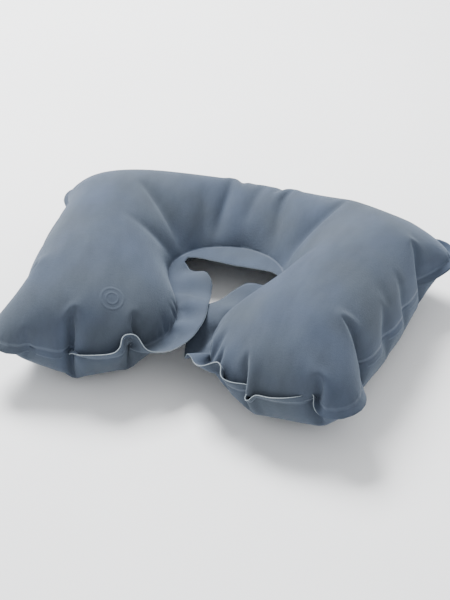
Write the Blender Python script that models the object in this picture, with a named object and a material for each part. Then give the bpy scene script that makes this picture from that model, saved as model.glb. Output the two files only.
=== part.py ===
"""U-shaped inflatable neck pillow.

Two flat sheets of flocked film are welded together along a seam that runs round the
whole U.  Air fills the chamber between them.  Outside the seam the two films stay flat
and make a narrow flange, and inside the U they make a wide flat web round the neck hole,
cut through to the front by a slit between the two arms.  A soft oral valve sits in the
underside of the left arm: a flange welded to the sheet, a cone that lets the stem push
in flush, the stem, its hinged plug and the check flap on its inner end.

Frame: +Z up, the U opens towards -Y, origin under the middle of the pillow.
"""
import math

import bmesh
import bpy
import numpy as np
from mathutils import Vector
from mathutils.geometry import delaunay_2d_cdt

# Driving dimensions, metres
SHEET = 0.0007            # thickness of one flocked film
GAP = 0.0003              # clearance between pieces that touch
HALF_HEIGHT = 0.053       # seam plane above the surface the pillow rests on
CROWN = 0.055             # height that the wide arms tend to, above the seam plane
FLAT_TRIM = 1.06          # how much of the lower crown the resting surface pushes flat
FLANGE = 0.0075           # welded margin outside the seam
MESH_STEP = 0.016         # facet size of the two sheets
REST_PATCH_R = 0.040      # flat patch under each arm, round the valve on the left one

# Plan of the inflated pillow, for the side with +X; Y is counted from the front edge
FRONT_EDGE_Y = 0.0075
FRONT_BULGE = 0.004
FRONT_ARC_R = 0.6
TIP_INNER_X = 0.0235
TIP_OUTER_X = 0.180
WAIST = (0.176, 0.115)
BACK_CORNER = (0.2200, 0.299)
BACK_MIDDLE_Y = 0.3390
BACK_ARC_R = 0.9
WEB_ROOT_Y = 0.050
NECK_SIDE = (0.080, 0.175)
NECK_CORNER = (0.066, 0.240)
SLIT_HALF = 0.0025
SLIT_END_Y = 0.152
HOLE_FRONT = (0.024, 0.160)
HOLE_BACK = (0.050, 0.208)

# Oral valve
VALVE_X = -0.105
VALVE_Y = 0.078
VALVE_HOLE_R = 0.009
VALVE_FLANGE_R = 0.0145
VALVE_FLANGE_T = 0.0010
STEM_R = 0.0050
STEM_BORE_R = 0.0032
STEM_MOUTH_Z = 0.0015
STEM_TOP_Z = 0.0120
CONE_T = 0.0006
CONE_FOOT_Z = 0.0012
CONE_TOP_Z = 0.0112
PLUG_HEAD_T = 0.0008
PLUG_HEAD_Z = 0.0004
PLUG_SPIGOT_R = 0.0029
PLUG_SPIGOT_TIP_R = 0.0018
PLUG_SPIGOT_L = 0.0035
PLUG_HINGE_X = 0.0068
PLUG_HINGE_Z = 0.0013
TETHER_HALF_WIDTH = 0.0019
FLAP_R = 0.0042
FLAP_T = 0.0004
FLAP_HINGE_X = 0.0044
ROUND_SEGMENTS = 32


def material(name, colour, roughness):
    """A plain Principled material."""
    result = bpy.data.materials.new(name)
    result.use_nodes = True
    shader = result.node_tree.nodes["Principled BSDF"]
    shader.inputs["Base Color"].default_value = (*colour, 1.0)
    shader.inputs["Roughness"].default_value = roughness
    shader.inputs["Metallic"].default_value = 0.0
    return result


def add_object(name, mesh, finish, location=(0.0, 0.0, 0.0)):
    """Link a mesh as a named object with its own material."""
    result = bpy.data.objects.new(name, mesh)
    result.location = location
    mesh.materials.append(finish)
    bpy.context.collection.objects.link(result)
    return result


def round_corners(corners, step):
    """Turn (x, y, radius) corners into a closed path with an arc at each corner."""
    path = []
    count = len(corners)
    for index in range(count):
        before = Vector(corners[index - 1][:2])
        corner = Vector(corners[index][:2])
        after = Vector(corners[(index + 1) % count][:2])
        radius = corners[index][2]
        to_before = (before - corner).normalized()
        to_after = (after - corner).normalized()
        half_angle = to_before.angle(to_after) / 2
        bisector = (to_before + to_after).normalized()
        centre = corner + bisector * (radius / math.sin(half_angle))
        start = corner + to_before * (radius / math.tan(half_angle)) - centre
        end = corner + to_after * (radius / math.tan(half_angle)) - centre
        sweep = -start.angle_signed(end)
        pieces = max(2, int(abs(sweep) * radius / step))
        for piece in range(pieces + 1):
            turn = sweep * piece / pieces
            cosine, sine = math.cos(turn), math.sin(turn)
            path.append(centre + Vector((start.x * cosine - start.y * sine,
                                         start.x * sine + start.y * cosine)))
    return path


def even_points(path, step):
    """Points spaced evenly along a closed path."""
    points = np.array([point[:] for point in path + path[:1]])
    lengths = np.linalg.norm(np.diff(points, axis=0), axis=1)
    travelled = np.concatenate([[0.0], np.cumsum(lengths)])
    count = round(travelled[-1] / step)
    stations = np.linspace(0.0, travelled[-1], count, endpoint=False)
    return np.stack([np.interp(stations, travelled, points[:, axis]) for axis in (0, 1)], axis=1)


def outer_corners(margin):
    """Right-hand outer corners, from the front edge to the back corner."""
    middle = (TIP_OUTER_X + TIP_INNER_X) / 2
    return [
        (middle, FRONT_EDGE_Y - FRONT_BULGE - margin, FRONT_ARC_R),
        (TIP_OUTER_X + margin, FRONT_EDGE_Y - margin, 0.042 + margin),
        (WAIST[0] + margin, WAIST[1], 0.25),
        (BACK_CORNER[0] + margin, BACK_CORNER[1] + 0.7 * margin, 0.022 + margin),
    ]


def closed_outline(inner, margin):
    """The U as one loop: right outer side, back, left outer side, inner side."""
    outer = outer_corners(margin)
    back = [(0.0, BACK_MIDDLE_Y + margin, BACK_ARC_R)]
    left_outer = [(-x, y, radius) for x, y, radius in reversed(outer)]
    left_inner = [(-x, y, radius) for x, y, radius in inner]
    corners = outer + back + left_outer + left_inner + inner[::-1]
    return even_points(round_corners(corners, 0.004), 0.9 * MESH_STEP)


def seam_outline():
    """The weld line that closes the air chamber."""
    inner = [
        (TIP_INNER_X, FRONT_EDGE_Y, 0.036),
        (TIP_INNER_X, WEB_ROOT_Y, 0.05),
        (NECK_SIDE[0], NECK_SIDE[1], 0.045),
        (NECK_CORNER[0], NECK_CORNER[1], 0.035),
    ]
    return closed_outline(inner, 0.0)


def cut_outline():
    """The cut edge of the films: flange outside, slit and neck hole inside."""
    inner = [
        (SLIT_HALF, FRONT_EDGE_Y - FLANGE, 0.036 + FLANGE / 2),
        (SLIT_HALF, SLIT_END_Y, 0.003),
        (HOLE_FRONT[0], HOLE_FRONT[1], 0.009),
        (HOLE_BACK[0], HOLE_BACK[1], 0.020),
    ]
    return closed_outline(inner, FLANGE)


def is_inside(loop, points):
    """Even-odd test of points against a closed loop."""
    hit = np.zeros(len(points), bool)
    previous = np.roll(loop, 1, axis=0)
    for (x1, y1), (x0, y0) in zip(loop, previous):
        crosses = (y1 > points[:, 1]) != (y0 > points[:, 1])
        rise = y0 - y1 if y0 != y1 else 1.0
        hit ^= crosses & (points[:, 0] < (x0 - x1) * (points[:, 1] - y1) / rise + x1)
    return hit


def distance_to(loop, points):
    """Distance from each point to the nearest side of a closed loop."""
    nearest = np.full(len(points), np.inf)
    for start, end in zip(loop, np.roll(loop, -1, axis=0)):
        side = end - start
        along = np.clip(((points - start) @ side) / (side @ side), 0.0, 1.0)
        nearest = np.minimum(nearest, np.linalg.norm(points - start - along[:, None] * side, axis=1))
    return nearest


def circle(centre, radius, count):
    """Points on a circle."""
    angles = np.linspace(0.0, 2 * math.pi, count, endpoint=False)
    return np.stack([centre[0] + radius * np.cos(angles), centre[1] + radius * np.sin(angles)], axis=1)


def triangulated_plan(loops, extra, step):
    """Triangles over the cut sheet, with every loop as an edge line."""
    cut = loops[0]
    rows = np.arange(cut[:, 1].min(), cut[:, 1].max(), step * math.sqrt(3) / 2)
    columns = np.arange(0.0, cut[:, 0].max(), step)
    grid = []
    for number, y in enumerate(rows):
        shift = step / 2 if number % 2 else 0.0
        for x in columns:
            grid.append((x + shift, y))
            if x + shift > 0:
                grid.append((-x - shift, y))
    grid = np.array(grid)
    grid = grid[is_inside(cut, grid)]
    for loop in loops:
        grid = grid[distance_to(loop, grid) > 0.55 * step]
    edges = []
    start = 0
    for loop in loops:
        count = len(loop)
        edges += [(start + index, start + (index + 1) % count) for index in range(count)]
        start += count
    if len(extra):
        grid = grid[np.linalg.norm(grid - extra.mean(axis=0), axis=1) > 0.022]
    points = np.vstack(loops + ([extra] if len(extra) else []) + [grid])
    result = delaunay_2d_cdt([Vector(point) for point in points], edges, [], 0, 1e-7)
    vertices = np.array([vertex[:] for vertex in result[0]])
    faces = np.array([face for face in result[2]])
    middles = vertices[faces].mean(axis=1)
    keep = is_inside(cut, middles)
    if len(loops) > 2:
        keep &= ~is_inside(loops[2], middles)
    corner_a, corner_b, corner_c = (vertices[faces[:, number]] for number in range(3))
    side_1, side_2 = corner_b - corner_a, corner_c - corner_a
    twice_area = side_1[:, 0] * side_2[:, 1] - side_1[:, 1] * side_2[:, 0]
    faces[twice_area < 0] = faces[twice_area < 0][:, ::-1]
    keep &= np.abs(twice_area) > 1e-9
    return vertices, faces[keep]


def crown_height(vertices, faces, seam):
    """Height of the inflated film over its seam plane, as a soap film would swell it.

    The film height over a strip of half width a is sqrt(a^2 - x^2), a round tube, and it
    levels off towards CROWN over the wide arms.
    """
    free = is_inside(seam, vertices) & (distance_to(seam, vertices) > 1e-5)
    sides = np.vstack([faces[:, [0, 1]], faces[:, [1, 2]], faces[:, [2, 0]]])
    sides = np.unique(np.sort(sides, axis=1), axis=0)
    first, second = sides[:, 0], sides[:, 1]
    count = len(vertices)
    length_squared = ((vertices[first] - vertices[second]) ** 2).sum(axis=1)
    weight = 1.0 / length_squared
    total = np.bincount(first, weight, count) + np.bincount(second, weight, count)
    neighbours = np.bincount(first, minlength=count) + np.bincount(second, minlength=count)
    load = neighbours / (4.0 * np.maximum(total, 1.0))
    swell = np.zeros(count)
    for _ in range(1500):
        pull = np.bincount(first, weight * swell[second], count)
        pull += np.bincount(second, weight * swell[first], count)
        swell = np.where(free, pull / np.maximum(total, 1.0) + load, 0.0)
    tube = np.sqrt(2.0 * swell)
    return tube / (1.0 + (tube / CROWN) ** 4) ** 0.25


def middle_y(cut):
    """Y of the pillow's middle in the plan."""
    return (cut[:, 1].min() + cut[:, 1].max()) / 2


def sheet_mesh(name, vertices, faces, heights, facing, centre_y):
    """One film as an open surface; facing +1 is the top sheet, -1 the bottom one."""
    surface = bmesh.new()
    points = [surface.verts.new((x, y - centre_y, z)) for (x, y), z in zip(vertices, heights)]
    for face in faces[:, ::facing]:
        surface.faces.new([points[index] for index in face])
    loose = [vertex for vertex in surface.verts if not vertex.link_faces]
    bmesh.ops.delete(surface, geom=loose, context="VERTS")
    mesh = bpy.data.meshes.new(name)
    surface.to_mesh(mesh)
    surface.free()
    return mesh


def thicken(sheet):
    """Give a film its thickness, outwards from its inner face."""
    solid = sheet.modifiers.new("film", "SOLIDIFY")
    solid.thickness = SHEET
    solid.offset = 1.0
    sheet.data.shade_smooth()


def make_top_sheet(cut, seam, flock):
    """Upper film: crown, flange and web."""
    vertices, faces = triangulated_plan([cut, seam], np.empty((0, 2)), MESH_STEP)
    heights = crown_height(vertices, faces, seam)
    heights *= (HALF_HEIGHT - SHEET - GAP / 2) / heights.max()
    heights += HALF_HEIGHT + GAP / 2
    mesh = sheet_mesh("top_sheet", vertices, faces, heights, 1, middle_y(cut))
    thicken(add_object("top_sheet", mesh, flock))


def make_bottom_sheet(cut, seam, flock):
    """Lower film: pressed flat where it rests, with the valve's hole cut through it."""
    centre = (VALVE_X, VALVE_Y)
    hole = circle(centre, VALVE_HOLE_R, 24)
    seat = circle(centre, VALVE_FLANGE_R + 0.003, 24)
    vertices, faces = triangulated_plan([cut, seam, hole], seat, MESH_STEP)
    heights = crown_height(vertices, faces, seam)
    level = HALF_HEIGHT - SHEET - GAP / 2
    mirrored_x = -np.abs(vertices[:, 0]) - VALVE_X
    resting = np.hypot(mirrored_x, vertices[:, 1] - VALVE_Y) < REST_PATCH_R
    heights[resting] = heights.max()
    heights = np.minimum(heights * FLAT_TRIM * level / heights.max(), level)
    heights = HALF_HEIGHT - GAP / 2 - heights
    mesh = sheet_mesh("bottom_sheet", vertices, faces, heights, -1, middle_y(cut))
    thicken(add_object("bottom_sheet", mesh, flock))


def turned(name, profile, finish, location):
    """A solid of revolution about Z from a closed (radius, height) profile."""
    body = bmesh.new()
    on_axis = [index for index, (radius, _) in enumerate(profile) if radius < 1e-9]
    rings = []
    for radius, height in profile:
        if radius < 1e-9:
            rings.append([body.verts.new((0.0, 0.0, height))] * ROUND_SEGMENTS)
            continue
        ring = []
        for number in range(ROUND_SEGMENTS):
            angle = 2 * math.pi * number / ROUND_SEGMENTS
            ring.append(body.verts.new((radius * math.cos(angle), radius * math.sin(angle), height)))
        rings.append(ring)
    last = len(rings) if len(on_axis) < 2 else len(rings) - 1
    for index in range(last):
        lower, upper = rings[index], rings[(index + 1) % len(rings)]
        for number in range(ROUND_SEGMENTS):
            following = (number + 1) % ROUND_SEGMENTS
            corners = [lower[number], lower[following], upper[following], upper[number]]
            unique = []
            for corner in corners:
                if corner not in unique:
                    unique.append(corner)
            if len(unique) > 2:
                body.faces.new(unique)
    bmesh.ops.recalc_face_normals(body, faces=body.faces)
    mesh = bpy.data.meshes.new(name)
    body.to_mesh(mesh)
    body.free()
    mesh.shade_smooth()
    mesh.set_sharp_from_angle(angle=math.radians(35))
    return add_object(name, mesh, finish, location)


def union(target, tool):
    """Join a second solid into the target."""
    joined = target.modifiers.new("joined", "BOOLEAN")
    joined.operation = "UNION"
    joined.object = tool
    tool.hide_render = True
    tool.display_type = "WIRE"


def box(name, low, high, finish, location):
    """A block between two corners."""
    body = bmesh.new()
    bmesh.ops.create_cube(body, size=1.0)
    for vertex in body.verts:
        vertex.co = Vector([low[axis] if vertex.co[axis] < 0 else high[axis] for axis in range(3)])
    mesh = bpy.data.meshes.new(name)
    body.to_mesh(mesh)
    body.free()
    return add_object(name, mesh, finish, location)


def make_valve(centre_y, soft, film):
    """The oral valve in the underside of the left arm, pushed in and plugged."""
    place = Vector((VALVE_X, VALVE_Y - centre_y, 0.0))
    seat_z = SHEET + GAP
    turned("valve_flange", [
        (VALVE_HOLE_R, seat_z),
        (VALVE_FLANGE_R, seat_z),
        (VALVE_FLANGE_R - 0.0004, seat_z + VALVE_FLANGE_T),
        (VALVE_HOLE_R, seat_z + VALVE_FLANGE_T),
    ], soft, place)
    foot_r = VALVE_HOLE_R - GAP
    top_r = STEM_R + GAP
    turned("valve_cone", [
        (foot_r - CONE_T, CONE_FOOT_Z),
        (foot_r, CONE_FOOT_Z),
        (foot_r, CONE_FOOT_Z + 0.0008),
        (top_r + CONE_T, CONE_TOP_Z),
        (top_r, CONE_TOP_Z),
        (top_r, CONE_TOP_Z - 0.0008),
    ], soft, place)
    turned("valve_stem", [
        (STEM_BORE_R, STEM_MOUTH_Z),
        (STEM_R - 0.0003, STEM_MOUTH_Z),
        (STEM_R, STEM_MOUTH_Z + 0.0003),
        (STEM_R, STEM_TOP_Z),
        (STEM_BORE_R, STEM_TOP_Z),
    ], soft, place)
    hinge = place + Vector((-PLUG_HINGE_X, 0.0, PLUG_HINGE_Z))
    head_low = PLUG_HEAD_Z - PLUG_HINGE_Z
    head_high = head_low + PLUG_HEAD_T
    tip = STEM_MOUTH_Z - PLUG_HINGE_Z + PLUG_SPIGOT_L
    plug = turned("valve_plug", [
        (0.0, head_low),
        (STEM_R - 0.0003, head_low),
        (STEM_R, head_low + 0.0003),
        (STEM_R, head_high),
        (PLUG_SPIGOT_R, head_high),
        (PLUG_SPIGOT_TIP_R, tip),
        (0.0, tip),
    ], soft, hinge)
    for vertex in plug.data.vertices:
        vertex.co.x += PLUG_HINGE_X
    ear_low = (0.0003, -TETHER_HALF_WIDTH, head_low + 0.0001)
    ear_high = (PLUG_HINGE_X - STEM_R + 0.0020, TETHER_HALF_WIDTH, head_high - 0.0001)
    ear = box("plug_ear_tool", ear_low, ear_high, soft, hinge)
    union(plug, ear)
    tether_low = (0.3 * GAP - PLUG_HINGE_X - 0.0008, -TETHER_HALF_WIDTH, STEM_MOUTH_Z + 0.0001)
    tether_high = (-STEM_R - GAP, TETHER_HALF_WIDTH, STEM_MOUTH_Z + 0.0009)
    box("plug_tether", tether_low, tether_high, soft, place)
    flap_z = STEM_TOP_Z + GAP
    flap = turned("check_flap", [
        (0.0, 0.0),
        (FLAP_R, 0.0),
        (FLAP_R, FLAP_T),
        (0.0, FLAP_T),
    ], film, place + Vector((FLAP_HINGE_X, 0.0, flap_z)))
    for vertex in flap.data.vertices:
        vertex.co.x -= FLAP_HINGE_X


def main():
    """Build every piece."""
    for item in list(bpy.data.objects):
        bpy.data.objects.remove(item, do_unlink=True)
    flock = material("flocked_film", (0.135, 0.175, 0.205), 0.95)
    flock_below = material("flocked_film_below", (0.125, 0.165, 0.195), 0.95)
    soft = material("soft_valve_plastic", (0.62, 0.65, 0.67), 0.35)
    film = material("flap_film", (0.70, 0.72, 0.74), 0.30)
    cut = cut_outline()
    seam = seam_outline()
    make_top_sheet(cut, seam, flock)
    make_bottom_sheet(cut, seam, flock_below)
    make_valve(middle_y(cut), soft, film)


main()
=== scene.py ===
"""Looks of the inflatable neck pillow.

The two flocked sheets are cut flat, as the real ones are, welded along the seam line and
blown up: a small membrane solver works out the inflated form, with the creases, scallops
and pinches that a flat-cut U shape gets.  Each sheet's inflated form is then one visible
film, a thin closed shell with flock on it.  The oral valve comes from the CAD model, apart
from its soft cone.
"""
import math
from typing import NamedTuple

import bpy
import numpy as np
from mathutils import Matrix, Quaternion, Vector
from mathutils.geometry import delaunay_2d_cdt


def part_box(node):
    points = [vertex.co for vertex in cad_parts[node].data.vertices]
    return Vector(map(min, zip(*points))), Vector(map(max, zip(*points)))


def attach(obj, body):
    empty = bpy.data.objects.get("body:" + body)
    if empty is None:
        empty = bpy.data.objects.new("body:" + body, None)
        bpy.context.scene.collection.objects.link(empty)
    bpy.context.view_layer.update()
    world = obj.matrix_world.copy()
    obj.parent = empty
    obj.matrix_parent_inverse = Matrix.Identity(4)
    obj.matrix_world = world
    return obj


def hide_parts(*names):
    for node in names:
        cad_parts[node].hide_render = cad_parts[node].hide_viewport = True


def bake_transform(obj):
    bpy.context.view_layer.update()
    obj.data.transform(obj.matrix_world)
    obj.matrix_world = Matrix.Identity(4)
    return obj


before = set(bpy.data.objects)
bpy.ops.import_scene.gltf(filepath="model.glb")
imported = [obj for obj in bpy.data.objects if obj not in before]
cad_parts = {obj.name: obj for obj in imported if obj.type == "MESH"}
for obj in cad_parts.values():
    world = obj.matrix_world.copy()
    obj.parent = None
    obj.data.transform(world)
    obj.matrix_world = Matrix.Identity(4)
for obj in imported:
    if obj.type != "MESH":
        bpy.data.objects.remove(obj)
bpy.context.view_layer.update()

MM = 0.001

# The camera: degrees, metres, and the focal length in heights of the image
CAMERA_AZIMUTH = 20.55
CAMERA_ELEVATION = 36.39
CAMERA_ROLL = -1.21
CAMERA_DISTANCE = 1.2132
CAMERA_TARGET = (0.0159, -0.0302, 0.0475)
FOCAL_LENGTH = 2.075
SENSOR_WIDTH = 36.0         # millimetres

# The flat cut pattern in millimetres: right-hand half, Y counted from the front edge.
# Corners are (x, y, radius of the arc that rounds them).
FRONT_HALF = 234.0          # half width of the seam line at the arm tips
BACK_HALF = 227.0           # half width of the seam line at the back corners
CORNER_Y = 310.5            # how far back the back corners are
BACK_RISE = 76.0            # how far the middle of the back stands behind the corners
BACK_ARC_REACH = 171.0      # length that the back's arc takes of each of its two slopes
FRONT_BULGE = 14.0          # how far an arm's tip stands in front of its corners
FRONT_BULGE_R = 200.0
FRONT_BULGE_AT = 1.19       # place of the bulge, 1 is the middle of the arm's tip
SIDE_BULGE = (244.0, 150.0, 600.0)      # corner in the middle of a side
FRONT_CORNER_R = 42.0
BACK_CORNER_R = 44.0
TIP_INNER_X = 7.7           # inner corner of the seam line at an arm's tip
TIP_INNER_R = 104.0
NECK_X = 75.0               # corner of the seam line round the neck
NECK_Y = 228.5
NECK_R = 55.5
FLANGE = 7.6                # weld flange outside the seam line
CORNER_SHARE = 0.7          # share of the flange that moves the back corners back
BACK_SHARE = 1.1            # and the middle of the back
RISE_SHARE = 0.4            # the difference of the two, in the middle's rise
TIP_SHARE = 0.6             # share of the flange that widens the arc at an arm's tip
SLIT_HALF = 7.0             # half width of the slit between the arms
SLIT_END_Y = 150.0
SLIT_END_R = 3.8
HOLE_FRONT = (17.0, 168.0, 8.0)
HOLE_BACK = (64.0, 197.0, 5.0)
HOLE_BACK_MIDDLE = (0.0, 190.5, 30.0)

# The film and the air, in units of one grid point's mass, millimetres and solver steps
CELL = 9.5                  # spacing of the coarsest grid
CLEARANCE = 0.6             # grid points keep this many cells away from the outlines
SLIVER = 0.05               # triangles smaller than this many cells squared are left out
STRETCH = 0.5
BEND = 0.003
RIM_BEND = 6.0              # the welded rim is two films thick
STIFFEST_HINGE = 0.5        # keeps slivers of the grid from shaking
PRESSURE = 0.0003
DAMPING = 0.03
TIME_STEP = 0.5
START_GAP = 0.5             # half the gap between the films before the air comes in
START_SLOPE = 0.15          # and how much it grows away from the seam,
START_REACH = 12.0          # up to here
WEB_WEIGHT = 0.00006        # pull of gravity on the flange and the web
FLOOR_PRESS = 14.0          # how far the floor flattens the underside
STEPS = (1800, 1200, 500)   # solver steps on each grid; the first takes half as many again
CREASE_WIDTHS = (7.0, 5.0, 3.6)         # half width of a crease's band, on each grid
CREASE_DEPTH = 1.4          # depth of all creases together
CREASE_FADE = 0.6           # how much weaker a crease is at its crown end
PINCH_REACH = 9.0           # length of seam that a pinch takes with it
PINCH_PULL = 0.08
UNDERSIDE_SHARE = 0.7       # how deep the same creases are in the lower film


class Crease(NamedTuple):
    """A fold line of the flat pattern, from its seam end to its crown end, in millimetres."""
    seam: tuple
    crown: tuple
    draw: float             # how hard the film is drawn in, in parts of the air pressure
    pinch: float = 0.0      # how hard the seam is pulled in at the seam end
    lift: float = 0.0       # how far that pull points up


NECK_CREASES = (
    Crease((-55.0, 198.0), (-124.0, 241.0), 2.6),
    Crease((-62.0, 182.0), (-126.0, 174.0), 1.6),
    Crease((-39.0, 218.0), (-66.0, 278.0), 1.5),
    Crease((-32.0, 235.0), (-39.0, 299.0), 2.0),
    Crease((-5.0, 262.0), (-5.0, 299.0), 1.2),
    Crease((33.0, 229.0), (26.0, 299.0), 2.0),
    Crease((50.0, 206.0), (74.0, 245.0), 2.8),
    Crease((74.0, 245.0), (95.0, 278.0), 2.4),
    Crease((59.0, 196.0), (114.0, 181.0), 1.3),
)
TIP_CREASES = (
    Crease((-140.0, -3.0), (-150.0, 35.0), 1.3, 1.1, 0.3),
    Crease((-63.0, -1.0), (-69.0, 37.0), 1.2, 1.0, 0.8),
    Crease((33.0, 8.0), (41.0, 31.0), 0.6, 0.3, 0.0),
    Crease((76.0, -1.0), (76.0, 45.0), 1.2, 1.0, 0.6),
    Crease((197.0, -1.0), (189.0, 33.0), 1.3, 1.0, 0.8),
)
SIDE_CREASES = (
    Crease((229.0, 238.0), (191.0, 252.0), 1.4, 1.3, 0.2),
    Crease((234.0, 185.0), (208.0, 190.0), 1.1, 1.2, 0.2),
    Crease((236.0, 132.0), (204.0, 159.0), 1.1, 1.2, 0.2),
    Crease((233.0, 79.0), (200.0, 89.0), 1.4, 1.4, 0.2),
)

# Films, valve and stage, metres
FILM = 0.00040              # thickness of one visible film
HALF_WELD = 0.00004         # half the gap between the films in the weld
VALVE_HOLE_R = 0.0090
VALVE_FLAT_R = 0.018        # the film lies flat this far round the valve
VALVE_FLAT_FADE = 0.024     # and runs into its inflated form over this width
BELLOWS_TOP_R = 0.0056
BELLOWS_T = 0.0005
BELLOWS_RIPPLE = 0.00022
BELLOWS_SIDES = 72
BELLOWS_ROWS = 28
FLOOR_GAP = 0.0001
FLOOR_HALF = 6.0
WELD_WIDTH = 3.2            # millimetres of the flat pattern, each side of the seam

# The valve's faint print on the upper film: place and rings (radius, half width, tone) in millimetres
IMPRINT_PLACE = (-112.0, 51.0)
IMPRINT_RINGS = ((10.5, 2.0, 0.08), (5.6, 1.6, 0.05))
IMPRINT_HEIGHT = 0.00035    # metres

# Flock: noise scales in waves per metre, depths in metres
CLOUD_SCALE = 11.0
STROKE_SCALE = 48.0
NAP_SCALE = 1500.0
NAP_DEPTH = 0.00022
PIT_SCALE = 420.0
PIT_DEPTH = 0.00025
WELD_DEPTH = 0.0004
WELD_PALENESS = 0.22

TOP_TINT = (0.046, 0.059, 0.081)
BOTTOM_TINT = (0.044, 0.057, 0.078)
VALVE_TINT = (0.62, 0.65, 0.67)
FLAP_TINT = (0.70, 0.72, 0.74)

SKY = 1.1
LAMPS = (
    ("key", (-0.9, 0.8, 1.7), 120.0, 0.9, (0.98, 0.99, 1.0)),
    ("fill", (1.2, -1.5, 1.2), 6.0, 1.6, (0.95, 0.97, 1.0)),
)


def make_camera():
    """The camera, at the photo's angle."""
    azimuth, elevation = math.radians(CAMERA_AZIMUTH), math.radians(CAMERA_ELEVATION)
    back = Vector((
        math.sin(azimuth) * math.cos(elevation),
        -math.cos(azimuth) * math.cos(elevation),
        math.sin(elevation),
    ))
    data = bpy.data.cameras.new("camera")
    data.sensor_width = SENSOR_WIDTH
    data.lens = SENSOR_WIDTH * FOCAL_LENGTH
    camera = bpy.data.objects.new("camera", data)
    bpy.context.collection.objects.link(camera)
    camera.location = Vector(CAMERA_TARGET) + back * CAMERA_DISTANCE
    camera.rotation_mode = "QUATERNION"
    facing = (-back).to_track_quat("-Z", "Y")
    camera.rotation_quaternion = facing @ Quaternion((0.0, 0.0, 1.0), math.radians(CAMERA_ROLL))
    bpy.context.scene.camera = camera


# ---------------------------------------------------------------- flat pattern

def round_corners(corners, step):
    """Turn (x, y, radius) corners into a closed path with an arc at each corner."""
    path = []
    count = len(corners)
    for index in range(count):
        before = Vector(corners[index - 1][:2])
        corner = Vector(corners[index][:2])
        after = Vector(corners[(index + 1) % count][:2])
        radius = corners[index][2]
        to_before = (before - corner).normalized()
        to_after = (after - corner).normalized()
        half_angle = to_before.angle(to_after) / 2
        bisector = (to_before + to_after).normalized()
        centre = corner + bisector * (radius / math.sin(half_angle))
        start = corner + to_before * (radius / math.tan(half_angle)) - centre
        end = corner + to_after * (radius / math.tan(half_angle)) - centre
        sweep = -start.angle_signed(end)
        pieces = max(2, int(abs(sweep) * radius / step))
        for piece in range(pieces + 1):
            turn = sweep * piece / pieces
            cosine, sine = math.cos(turn), math.sin(turn)
            path.append(centre + Vector((start.x * cosine - start.y * sine,
                                         start.x * sine + start.y * cosine)))
    return path


def even_points(path, step):
    """Points spaced evenly along a closed path."""
    points = np.array([point[:] for point in path + path[:1]])
    lengths = np.linalg.norm(np.diff(points, axis=0), axis=1)
    travelled = np.concatenate([[0.0], np.cumsum(lengths)])
    stations = np.linspace(0.0, travelled[-1], round(travelled[-1] / step), endpoint=False)
    return np.stack([np.interp(stations, travelled, points[:, axis]) for axis in (0, 1)], axis=1)


def outline(inner, margin, inner_middle=()):
    """A closed loop round the U: outer corners moved out by margin, then the inner ones."""
    front_middle = (FRONT_HALF + TIP_INNER_X) / 2 * FRONT_BULGE_AT
    right = [
        (front_middle, -margin - FRONT_BULGE, FRONT_BULGE_R),
        (FRONT_HALF + margin, -margin, FRONT_CORNER_R + margin),
        (SIDE_BULGE[0] + margin, SIDE_BULGE[1], SIDE_BULGE[2]),
        (BACK_HALF + margin, CORNER_Y + CORNER_SHARE * margin, BACK_CORNER_R + margin),
    ]
    back_y = CORNER_Y + BACK_RISE + BACK_SHARE * margin
    arc = BACK_ARC_REACH * (BACK_HALF + margin) / (BACK_RISE + RISE_SHARE * margin)
    left = [(-x, y, radius) for x, y, radius in reversed(right)]
    inner_left = [(-x, y, radius) for x, y, radius in inner]
    corners = [*right, (0.0, back_y, arc), *left, *inner_left, *inner_middle, *inner[::-1]]
    return even_points(round_corners(corners, CELL / 2), CELL)


def seam_line():
    """The weld line that closes the air chamber."""
    return outline([(TIP_INNER_X, 0.0, TIP_INNER_R), (NECK_X, NECK_Y, NECK_R)], 0.0)


def cut_line():
    """The cut edge: flange outside, slit and neck hole inside."""
    tip = (SLIT_HALF, -FLANGE, TIP_INNER_R + TIP_SHARE * FLANGE)
    return outline([tip, (SLIT_HALF, SLIT_END_Y, SLIT_END_R), HOLE_FRONT, HOLE_BACK],
                   FLANGE, [HOLE_BACK_MIDDLE])


def is_inside(loop, points):
    """Even-odd test of points against a closed loop."""
    hit = np.zeros(len(points), bool)
    for (x1, y1), (x0, y0) in zip(loop, np.roll(loop, 1, axis=0)):
        crosses = (y1 > points[:, 1]) != (y0 > points[:, 1])
        rise = y0 - y1 if y0 != y1 else 1.0
        hit ^= crosses & (points[:, 0] < (x0 - x1) * (points[:, 1] - y1) / rise + x1)
    return hit


def distance_to(loop, points):
    """Distance from each point to the nearest side of a closed loop."""
    nearest = np.full(len(points), np.inf)
    for start, end in zip(loop, np.roll(loop, -1, axis=0)):
        side = end - start
        along = np.clip(((points - start) @ side) / (side @ side), 0.0, 1.0)
        nearest = np.minimum(nearest, np.linalg.norm(points - start - along[:, None] * side, axis=1))
    return nearest


def edges_of(faces):
    """Unique edges, and for each face side its edge number and the corner facing it."""
    sides = np.concatenate([faces[:, [0, 1]], faces[:, [1, 2]], faces[:, [2, 0]]])
    facing = np.concatenate([faces[:, 2], faces[:, 0], faces[:, 1]])
    edges, numbers = np.unique(np.sort(sides, axis=1), axis=0, return_inverse=True)
    return edges, numbers.reshape(-1), facing


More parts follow.
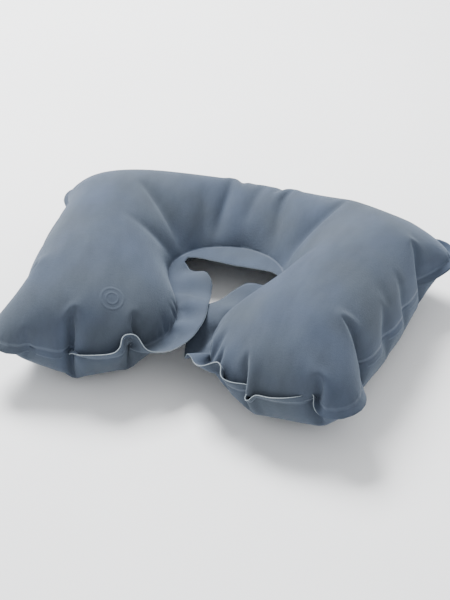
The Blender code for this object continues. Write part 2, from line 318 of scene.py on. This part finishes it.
class Pattern:
    """The flat pattern as one layer of triangles; chamber marks those inside the seam."""

    def __init__(self, points, faces, chamber):
        self.points = points
        self.faces = faces
        self.chamber = chamber
        inside_points = np.unique(faces[chamber])
        rim_points = np.unique(faces[~chamber])
        self.seam = np.zeros(len(points), bool)
        self.seam[np.intersect1d(inside_points, rim_points)] = True
        self.free = inside_points[~self.seam[inside_points]]

    @classmethod
    def cut(cls):
        """The coarsest pattern: a hexagonal grid cut by the seam line and the cut line."""
        seam, edge = seam_line(), cut_line()
        low, high = edge.min(axis=0) - CELL, edge.max(axis=0) + CELL
        rows = np.arange(low[1], high[1], CELL * math.sqrt(3) / 2)
        columns = np.arange(low[0], high[0], CELL)
        grid = np.array([(x + (CELL / 2 if number % 2 else 0.0), y)
                         for number, y in enumerate(rows) for x in columns])
        grid = grid[is_inside(edge, grid)]
        grid = grid[(distance_to(seam, grid) > CLEARANCE * CELL)
                    & (distance_to(edge, grid) > CLEARANCE * CELL)]
        sides = []
        for start, count in ((0, len(seam)), (len(seam), len(edge))):
            sides += [(start + index, start + (index + 1) % count) for index in range(count)]
        result = delaunay_2d_cdt([Vector(point) for point in np.vstack([seam, edge, grid])],
                                 sides, [], 0, 1e-6)
        points = np.array([point[:] for point in result[0]])
        faces = np.array([face for face in result[2]])
        middles = points[faces].mean(axis=1)
        a, b, c = (points[faces[:, corner]] for corner in range(3))
        twice_area = (b[:, 0] - a[:, 0]) * (c[:, 1] - a[:, 1]) - (b[:, 1] - a[:, 1]) * (c[:, 0] - a[:, 0])
        faces[twice_area < 0] = faces[twice_area < 0][:, ::-1]
        keep = is_inside(edge, middles) & (np.abs(twice_area) > SLIVER * CELL * CELL)
        faces, chamber = faces[keep], is_inside(seam, middles[keep])
        used = np.unique(faces)
        renumber = np.full(len(points), -1)
        renumber[used] = np.arange(len(used))
        return cls(points[used], renumber[faces], chamber)

    def refined(self):
        """The pattern with every triangle split in four, and the edges that were halved."""
        edges, numbers, _ = edges_of(self.faces)
        count, total = len(self.points), len(self.faces)
        ab, bc, ca = (count + numbers[part * total:(part + 1) * total] for part in range(3))
        a, b, c = self.faces.T
        corners = [(a, ab, ca), (ab, b, bc), (ca, bc, c), (ab, bc, ca)]
        faces = np.concatenate([np.stack(corner, axis=1) for corner in corners])
        points = np.vstack([self.points, self.points[edges].mean(axis=1)])
        return Pattern(points, faces, np.tile(self.chamber, 4)), edges


def stacked(pattern, top, bottom):
    """Solver points: the whole top layer, then the bottom layer's points inside the seam."""
    return np.vstack([top, bottom[pattern.free]])


def layers_of(pattern, points):
    """The opposite of stacked: both layers with one row for each point of the pattern."""
    top = points[:len(pattern.points)]
    bottom = top.copy()
    bottom[pattern.free] = points[len(pattern.points):]
    return top, bottom


# ---------------------------------------------------------------- inflation

def cotangent(corner, first, second):
    """Cotangent of the angle at corner, of a flat triangle."""
    u, v = first - corner, second - corner
    cross = np.abs(u[:, 0] * v[:, 1] - u[:, 1] * v[:, 0])
    return (u * v).sum(axis=1) / np.maximum(1e-9, cross)


def all_creases():
    """The creases of the whole pattern; the left side has those of the right, mirrored."""
    mirrored = []
    for crease in SIDE_CREASES:
        (seam_x, seam_y), (crown_x, crown_y) = crease.seam, crease.crown
        mirrored.append(crease._replace(seam=(-seam_x, seam_y), crown=(-crown_x, crown_y)))
    return (*NECK_CREASES, *TIP_CREASES, *SIDE_CREASES, *mirrored)


def crease_draw(points, width):
    """How hard the creases draw in at each point, in parts of the air pressure."""
    draw = np.zeros(len(points))
    for crease in all_creases():
        start, side = np.array(crease.seam), np.subtract(crease.crown, crease.seam)
        along = np.clip(((points - start) @ side) / (side @ side), 0.0, 1.0)
        away = np.linalg.norm(points - start - along[:, None] * side, axis=1)
        depth = CREASE_DEPTH * crease.draw * CREASE_WIDTHS[0] / width * (1.0 - CREASE_FADE * along)
        draw += depth * np.exp(-(away / width) ** 2)
    return draw


def seam_pull(pattern, count):
    """Forces that pull the seam in where a crease pinches it, with no sum that moves the whole."""
    seam = np.where(pattern.seam)[0]
    pull = np.zeros((3, count))
    for crease in all_creases():
        if crease.pinch:
            away = np.linalg.norm(pattern.points[seam] - crease.seam, axis=1)
            share = np.exp(-(away / PINCH_REACH) ** 2)
            inward = np.subtract(crease.crown, crease.seam)
            inward = inward / np.linalg.norm(inward)
            force = np.array([inward[0], inward[1], crease.lift]) * (PINCH_PULL * crease.pinch)
            pull[:, seam] += force[:, None] * (share / share.sum())
    return pull - pull.mean(axis=1)[:, None]


class Membrane:
    """Films that stretch, bend and hold air, moved step by step until they come to rest."""

    def __init__(self, pattern, crease_width):
        count = len(pattern.points)
        below = np.arange(count)
        below[pattern.free] = count + np.arange(len(pattern.free))
        top = pattern.faces[pattern.chamber]
        bottom = below[top][:, ::-1]
        rim = pattern.faces[~pattern.chamber]
        rest = np.vstack([pattern.points, pattern.points[pattern.free]])
        self.count = len(rest)
        self.air = np.vstack([top, bottom])
        edges = edges_of(np.vstack([self.air, rim]))[0]
        self.first, self.second = edges[:, 0].copy(), edges[:, 1].copy()
        self.length = np.linalg.norm(rest[self.first] - rest[self.second], axis=1)
        self.add_hinges(rest, ((top, 1.0), (bottom, 1.0), (rim, RIM_BEND)))
        self.targets = np.concatenate([self.first, self.second, *self.air.T, *self.hinge])
        self.rim_points = np.setdiff1d(np.unique(rim), np.where(pattern.seam)[0])
        middles = pattern.points[top].mean(axis=1)
        draw = crease_draw(middles, crease_width)
        self.press = np.concatenate([1.0 - draw, 1.0 - UNDERSIDE_SHARE * draw]) * (PRESSURE / 6.0)
        self.pull = seam_pull(pattern, self.count)

    def add_hinges(self, rest, films):
        """Bending hinges: edge ends first, then the two corners that face the edge."""
        rows = []
        for faces, stiffness in films:
            edges, numbers, facing = edges_of(faces)
            order = np.argsort(numbers, kind="stable")
            uses = np.bincount(numbers, minlength=len(edges))
            start = np.concatenate([[0], np.cumsum(uses)[:-1]])
            shared = uses == 2
            one, other = facing[order[start[shared]]], facing[order[start[shared] + 1]]
            rows.append(np.column_stack([edges[shared], one, other, np.full(len(one), stiffness)]))
        rows = np.vstack(rows)
        self.hinge = [rows[:, column].astype(int) for column in range(4)]
        x0, x1, x2, x3 = (rest[points] for points in self.hinge)
        near_2, near_3 = cotangent(x0, x1, x2), cotangent(x0, x1, x3)
        far_2, far_3 = cotangent(x1, x0, x2), cotangent(x1, x0, x3)
        self.bend_weight = [far_2 + far_3, near_2 + near_3, -near_2 - far_2, -near_3 - far_3]
        area = 0.5 * sum(np.abs((x1 - x0)[:, 0] * (x - x0)[:, 1] - (x1 - x0)[:, 1] * (x - x0)[:, 0])
                         for x in (x2, x3))
        square = sum(weight * weight for weight in self.bend_weight)
        self.bend_scale = np.minimum(3.0 / area * rows[:, 4] * BEND, STIFFEST_HINGE / square)

    def settle(self, points, steps, weight=0.0, floor=None, rise=0.0):
        """Move the points for a number of steps; the floor first comes up by rise."""
        position = np.ascontiguousarray(points.T)
        speed = np.zeros_like(position)
        a, b, c = self.air.T
        for step in range(steps):
            edge = position[:, self.second] - position[:, self.first]
            length = np.sqrt((edge * edge).sum(axis=0)) + 1e-12
            edge *= STRETCH * (length - self.length) / length
            u, v = position[:, b] - position[:, a], position[:, c] - position[:, a]
            push = np.stack([u[1] * v[2] - u[2] * v[1], u[2] * v[0] - u[0] * v[2],
                             u[0] * v[1] - u[1] * v[0]]) * self.press
            curl = sum(position[:, self.hinge[part]] * self.bend_weight[part] for part in range(4))
            curl *= -self.bend_scale
            parts = [edge, -edge, push, push, push] + [curl * part for part in self.bend_weight]
            forces = np.concatenate(parts, axis=1)
            force = np.stack([np.bincount(self.targets, forces[axis], self.count) for axis in range(3)])
            force[2, self.rim_points] -= weight
            force += self.pull
            speed = (speed + force * TIME_STEP) * (1.0 - DAMPING)
            speed -= speed.mean(axis=1)[:, None]
            if floor is not None:
                level = floor - rise * max(0.0, 1.0 - 2.0 * step / steps)
                low = position[2] + speed[2] * TIME_STEP < level
                speed[2, low] = (level - position[2, low]) / TIME_STEP
            position = position + speed * TIME_STEP
        return position.T.copy()


def inflated():
    """Blow up the flat pattern, coarse grid first.  Returns the pattern and both layers."""
    pattern = Pattern.cut()
    from_seam = distance_to(seam_line(), pattern.points)
    swell = START_GAP + START_SLOPE * np.minimum(from_seam, START_REACH)
    height = np.where(pattern.seam, 0.0, swell)
    height[np.setdiff1d(np.arange(len(pattern.points)), pattern.free)] = 0.0
    top = np.column_stack([pattern.points, height])
    bottom = np.column_stack([pattern.points, -height])
    floor = None
    levels = len(STEPS)
    for level in range(levels):
        if level:
            pattern, halved = pattern.refined()
            top = np.vstack([top, top[halved].mean(axis=1)])
            bottom = np.vstack([bottom, bottom[halved].mean(axis=1)])
        film = Membrane(pattern, CREASE_WIDTHS[level])
        points = stacked(pattern, top, bottom)
        if floor is None:
            points = film.settle(points, STEPS[0])
            floor = points[:, 2].min() + FLOOR_PRESS
            points = film.settle(points, STEPS[0] // 2, WEB_WEIGHT, floor, FLOOR_PRESS)
        else:
            points = film.settle(points, STEPS[level], WEB_WEIGHT / 4 ** level, floor)
        top, bottom = layers_of(pattern, points)
    return pattern, top, bottom


# ---------------------------------------------------------------- materials

class Surface:
    """A Principled material, with short ways to add nodes to it."""

    def __init__(self, name):
        self.material = bpy.data.materials.new(name)
        self.material.use_nodes = True
        self.tree = self.material.node_tree
        self.shader = self.tree.nodes["Principled BSDF"]

    def set(self, **values):
        """Constants on the shader's own sockets; underscores stand for the spaces of their names."""
        for name, value in values.items():
            self.shader.inputs[name.replace("_", " ")].default_value = value

    def node(self, kind, inputs=(), **settings):
        """A node with its settings; inputs are (socket, value or another node's output)."""
        made = self.tree.nodes.new(kind)
        for name, value in settings.items():
            setattr(made, name, value)
        for socket, value in inputs:
            if isinstance(value, bpy.types.NodeSocket):
                self.tree.links.new(value, made.inputs[socket])
            else:
                made.inputs[socket].default_value = value
        return made

    def noise(self, place, scale, detail=2.0, roughness=0.5):
        """Noise from 0 to 1 at a scale in waves per metre."""
        inputs = (("Vector", place), ("Scale", scale), ("Detail", detail), ("Roughness", roughness))
        return self.node("ShaderNodeTexNoise", inputs).outputs["Fac"]

    def math(self, operation, first, second):
        """One Math node."""
        return self.node("ShaderNodeMath", ((0, first), (1, second)), operation=operation).outputs[0]

    def span(self, value, low, high, to_low=0.0, to_high=1.0):
        """A smooth step of a value into a new range."""
        inputs = ((0, value), (1, low), (2, high), (3, to_low), (4, to_high))
        return self.node("ShaderNodeMapRange", inputs, interpolation_type="SMOOTHSTEP").outputs[0]

    def mix(self, factor, first, second, blend="MIX"):
        """A colour mix."""
        made = self.node("ShaderNodeMix", data_type="RGBA", blend_type=blend)
        for number, value in ((0, factor), (6, first), (7, second)):
            if isinstance(value, bpy.types.NodeSocket):
                self.tree.links.new(value, made.inputs[number])
            else:
                made.inputs[number].default_value = value
        return made.outputs[2]

    def bump(self, height, distance):
        """A bump whose height is in parts of a distance in metres."""
        inputs = (("Height", height), ("Distance", distance), ("Strength", 1.0))
        return self.node("ShaderNodeBump", inputs).outputs[0]

    def join(self, output, socket):
        """Lead an output to one of the shader's sockets."""
        self.tree.links.new(output, self.shader.inputs[socket])


def flock_material(name, tint, imprint=None):
    """Short velvety flock on film: nap, brushed patches, and the weld pressed flat."""
    skin = Surface(name)
    flat = skin.node("ShaderNodeUVMap", uv_map="flat_pattern").outputs[0]
    weld = skin.node("ShaderNodeAttribute", attribute_name="weld").outputs["Fac"]
    cool = (tint[0] * 0.96, tint[1] * 1.00, tint[2] * 1.10, 1.0)
    warm = (tint[0] * 1.06, tint[1] * 1.03, tint[2] * 0.97, 1.0)
    clouds = skin.span(skin.noise(flat, CLOUD_SCALE, 3.0), 0.32, 0.68)
    colour = skin.mix(clouds, cool, warm)
    stroke_map = skin.node("ShaderNodeMapping", (("Vector", flat), ("Rotation", (0.0, 0.0, 0.6)),
                                                 ("Scale", (1.0, 0.4, 1.0)))).outputs[0]
    strokes = skin.span(skin.noise(stroke_map, STROKE_SCALE, 4.0, 0.6), 0.25, 0.75, 0.88, 1.13)
    nap = skin.noise(flat, NAP_SCALE, 3.0, 0.7)
    fibres = skin.span(nap, 0.25, 0.75, 0.80, 1.20)
    tone = skin.math("MULTIPLY", strokes, fibres)
    height = skin.math("MULTIPLY", nap, NAP_DEPTH)
    pits = skin.math("MULTIPLY", skin.noise(flat, PIT_SCALE, 3.0, 0.6), PIT_DEPTH)
    height = skin.math("ADD", height, pits)
    if imprint is not None:
        place = (imprint[0] * MM, imprint[1] * MM, 0.0)
        from_middle = skin.node("ShaderNodeVectorMath", ((0, flat), (1, place)), operation="DISTANCE")
        for radius, width, depth in IMPRINT_RINGS:
            beyond = skin.math("SUBTRACT", from_middle.outputs["Value"], radius * MM)
            off = skin.math("ABSOLUTE", beyond, 0.0)
            ring = skin.span(off, 0.0, width * MM, 1.0, 0.0)
            tone = skin.math("MULTIPLY", tone, skin.math("ADD", 1.0, skin.math("MULTIPLY", ring, depth)))
            height = skin.math("ADD", height, skin.math("MULTIPLY", ring, IMPRINT_HEIGHT))
    pressed = skin.span(weld, 0.2, 0.9)
    tone = skin.math("MULTIPLY", tone, skin.math("ADD", 1.0, skin.math("MULTIPLY", pressed, WELD_PALENESS)))
    height = skin.math("SUBTRACT", height, skin.math("MULTIPLY", pressed, WELD_DEPTH))
    grey = skin.node("ShaderNodeCombineColor", (("Red", tone), ("Green", tone), ("Blue", tone)))
    skin.join(skin.mix(1.0, colour, grey.outputs[0], "MULTIPLY"), "Base Color")
    skin.join(skin.span(pressed, 0.0, 1.0, 0.92, 0.62), "Roughness")
    skin.join(skin.bump(height, 1.0), "Normal")
    skin.set(Specular_IOR_Level=0.25, Sheen_Weight=0.20, Sheen_Roughness=0.45,
             Sheen_Tint=(0.66, 0.80, 0.98, 1.0))
    return skin.material


def cut_edge_material(name):
    """The cut edge of the film, where its vinyl core shows paler than the flock."""
    edge = Surface(name)
    place = edge.node("ShaderNodeTexCoord").outputs["Object"]
    streak = edge.span(edge.noise(place, 900.0, 2.0), 0.3, 0.7)
    edge.join(edge.mix(streak, (0.19, 0.23, 0.26, 1.0), (0.27, 0.31, 0.34, 1.0)), "Base Color")
    edge.join(edge.bump(edge.noise(place, 1400.0, 2.0), 0.0001), "Normal")
    edge.set(Roughness=0.5, Specular_IOR_Level=0.4)
    return edge.material


def vinyl_material(name, colour, roughness, clearness):
    """Soft moulded vinyl, slightly cloudy, with a fine orange-peel skin."""
    vinyl = Surface(name)
    place = vinyl.node("ShaderNodeTexCoord").outputs["Object"]
    cloud = vinyl.span(vinyl.noise(place, 140.0, 3.0), 0.3, 0.7)
    darker = tuple(channel * 0.88 for channel in colour)
    vinyl.join(vinyl.mix(cloud, (*darker, 1.0), (*colour, 1.0)), "Base Color")
    patches = vinyl.noise(place, 600.0, 2.0)
    vinyl.join(vinyl.span(patches, 0.3, 0.7, roughness * 0.8, roughness * 1.25), "Roughness")
    vinyl.join(vinyl.bump(vinyl.noise(place, 1800.0, 2.0), 0.00006), "Normal")
    vinyl.set(IOR=1.53, Transmission_Weight=clearness, Subsurface_Weight=0.25,
              Subsurface_Radius=(0.004, 0.004, 0.004), Subsurface_Scale=0.5)
    return vinyl.material


def floor_material(name):
    """A plain pale floor with the faintest unevenness."""
    floor = Surface(name)
    place = floor.node("ShaderNodeTexCoord").outputs["Object"]
    mottle = floor.span(floor.noise(place, 3.0, 3.0), 0.3, 0.7)
    floor.join(floor.mix(mottle, (0.90, 0.90, 0.90, 1.0), (0.93, 0.93, 0.93, 1.0)), "Base Color")
    floor.set(Roughness=0.8, Specular_IOR_Level=0.2)
    return floor.material


# ---------------------------------------------------------------- visible pieces

def point_normals(points, faces):
    """Unit normal at each point, from the faces round it."""
    a, b, c = (points[faces[:, corner]] for corner in range(3))
    face_normals = np.cross(b - a, c - a)
    total = np.stack([
        sum(np.bincount(faces[:, corner], face_normals[:, axis], len(points)) for corner in range(3))
        for axis in range(3)], axis=1)
    return total / np.maximum(np.linalg.norm(total, axis=1), 1e-12)[:, None]


def smooth_step(value):
    """0 below 0, 1 above 1, smooth between."""
    value = np.clip(value, 0.0, 1.0)
    return value * value * (3.0 - 2.0 * value)


def seat_valve(points, faces, middle, hole_radius):
    """Lay the film flat round the valve and cut the round hole that the valve shows through."""
    points = points.copy()
    away = np.linalg.norm(points[:, :2] - middle, axis=1)
    raised = smooth_step((away - VALVE_FLAT_R) / VALVE_FLAT_FADE)
    points[:, 2] = FILM + HALF_WELD + (points[:, 2] - FILM - HALF_WELD) * raised
    faces = faces[(away[faces] >= hole_radius).all(axis=1)]
    edges, numbers, _ = edges_of(faces)
    rim = np.unique(edges[np.bincount(numbers) == 1])
    rim = rim[away[rim] < 2.0 * hole_radius]
    points[rim, :2] = middle + (points[rim, :2] - middle) * (hole_radius / away[rim])[:, None]
    return points, faces


def new_piece(name, points, faces, materials):
    """A smooth mesh object."""
    mesh = bpy.data.meshes.new(name)
    mesh.from_pydata(points.tolist(), [], faces.tolist())
    mesh.validate()
    mesh.shade_smooth()
    for material in materials:
        mesh.materials.append(material)
    piece = bpy.data.objects.new(name, mesh)
    bpy.context.collection.objects.link(piece)
    return piece


def sheet_object(name, pattern, points, faces, materials):
    """A film as a thin closed shell that stands outside the weld plane."""
    used, faces = np.unique(faces, return_inverse=True)
    faces = faces.reshape(-1, 3)
    points, flat_points = points[used], pattern.points[used]
    points = points + point_normals(points, faces) * HALF_WELD
    piece = new_piece(name, points, faces, materials)
    mesh = piece.data
    flat = mesh.uv_layers.new(name="flat_pattern")
    corners = np.empty(len(mesh.loops), int)
    mesh.loops.foreach_get("vertex_index", corners)
    flat.data.foreach_set("uv", (flat_points[corners] * MM).astype(np.float32).ravel())
    weld = mesh.attributes.new("weld", "FLOAT", "POINT")
    from_seam = distance_to(seam_line(), flat_points)
    weld.data.foreach_set("value", (1.0 - smooth_step(from_seam / WELD_WIDTH)).astype(np.float32))
    shell = piece.modifiers.new("film", "SOLIDIFY")
    shell.thickness = FILM
    shell.offset = 1.0
    shell.material_offset_rim = 1
    return piece


def bellows_object(name, material):
    """The thin cone of the valve, which turns inside out as the stem is pulled."""
    low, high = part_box("valve_cone")
    middle = (low + high) / 2
    foot_radius = (high.x - low.x) / 2
    top_radius = BELLOWS_TOP_R
    thickness = BELLOWS_T
    sides = BELLOWS_SIDES
    rows = BELLOWS_ROWS
    points = []
    for row in range(rows + 1):
        share = row / rows
        ripple = BELLOWS_RIPPLE * math.sin(4.0 * math.pi * share)
        radius = foot_radius + (top_radius - foot_radius) * share + ripple - thickness / 2
        height = low.z + thickness / 2 + (high.z - low.z - thickness) * share
        for side in range(sides):
            turn = 2.0 * math.pi * side / sides
            points.append((middle.x + radius * math.cos(turn), middle.y + radius * math.sin(turn), height))
    faces = [(row * sides + side, row * sides + (side + 1) % sides,
              (row + 1) * sides + (side + 1) % sides, (row + 1) * sides + side)
             for row in range(rows) for side in range(sides)]
    piece = new_piece(name, np.array(points), np.array(faces), [material])
    shell = piece.modifiers.new("wall", "SOLIDIFY")
    shell.thickness = thickness
    shell.offset = 0.0
    bpy.context.view_layer.update()
    solid = bpy.data.meshes.new_from_object(piece.evaluated_get(bpy.context.evaluated_depsgraph_get()))
    piece.modifiers.clear()
    piece.data = solid
    return piece


# ---------------------------------------------------------------- stage

def make_stage():
    """A plain pale floor and soft studio light."""
    half = FLOOR_HALF
    corners = np.array([(-half, -half, 0), (half, -half, 0), (half, half, 0), (-half, half, 0)])
    floor = new_piece("floor", corners, np.array([(0, 1, 2, 3)]), [floor_material("floor")])
    floor.location.z = -FLOOR_GAP
    world = bpy.data.worlds.new("studio")
    bpy.context.scene.world = world
    world.use_nodes = True
    background = world.node_tree.nodes["Background"]
    background.inputs["Color"].default_value = (0.97, 0.985, 1.0, 1.0)
    background.inputs["Strength"].default_value = SKY
    for name, place, power, width, tint in LAMPS:
        lamp = bpy.data.lights.new(name, "AREA")
        lamp.energy = power
        lamp.size = width
        lamp.color = tint
        light = bpy.data.objects.new(name, lamp)
        bpy.context.collection.objects.link(light)
        light.location = place
        light.rotation_mode = "QUATERNION"
        light.rotation_quaternion = (-Vector(place)).to_track_quat("-Z", "Y")


def make_films():
    """Both visible films, in the place of the CAD sheets."""
    pattern, top, bottom = inflated()
    both = np.vstack([top, bottom])
    middle = (both.min(axis=0) + both.max(axis=0)) / 2
    rest = bottom[:, 2].min() - (FILM + HALF_WELD) / MM
    shift = np.array([middle[0], middle[1], rest])
    top, bottom = (top - shift) * MM, (bottom - shift) * MM
    valve_low, valve_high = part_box("valve_flange")
    valve = np.array(((valve_low + valve_high) / 2)[:2])
    under, under_faces = seat_valve(bottom, pattern.faces[:, ::-1], valve, VALVE_HOLE_R)
    edge = cut_edge_material("cut_edge")
    upper_flock = flock_material("flock_top", TOP_TINT, IMPRINT_PLACE)
    lower_flock = flock_material("flock_bottom", BOTTOM_TINT)
    pieces = (
        ("upper_flocked_film", top, pattern.faces, upper_flock, "top_sheet", "flock_top"),
        ("lower_flocked_film", under, under_faces, lower_flock, "bottom_sheet", "flock_bottom"),
    )
    for name, points, faces, flock, node, slot in pieces:
        piece = sheet_object(name, pattern, points, faces, [flock, edge])
        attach(piece, "pillow")
        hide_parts(node)


def make_valve():
    """Finish for the CAD valve pieces, and the soft cone that joins the stem to its flange."""
    vinyl = vinyl_material("valve_vinyl", VALVE_TINT, 0.32, 0.12)
    flap = vinyl_material("flap_film", FLAP_TINT, 0.18, 0.45)
    for name in ("valve_flange", "valve_stem", "plug_tether", "valve_plug", "check_flap"):
        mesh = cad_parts[name].data
        finish = flap if name == "check_flap" else vinyl
        mesh.materials.clear()
        mesh.materials.append(finish)
    bellows = bellows_object("valve_bellows", vinyl)
    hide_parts("valve_cone")
    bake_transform(bellows)


def main():
    """Everything, in order."""
    make_camera()
    make_stage()
    make_films()
    make_valve()


main()
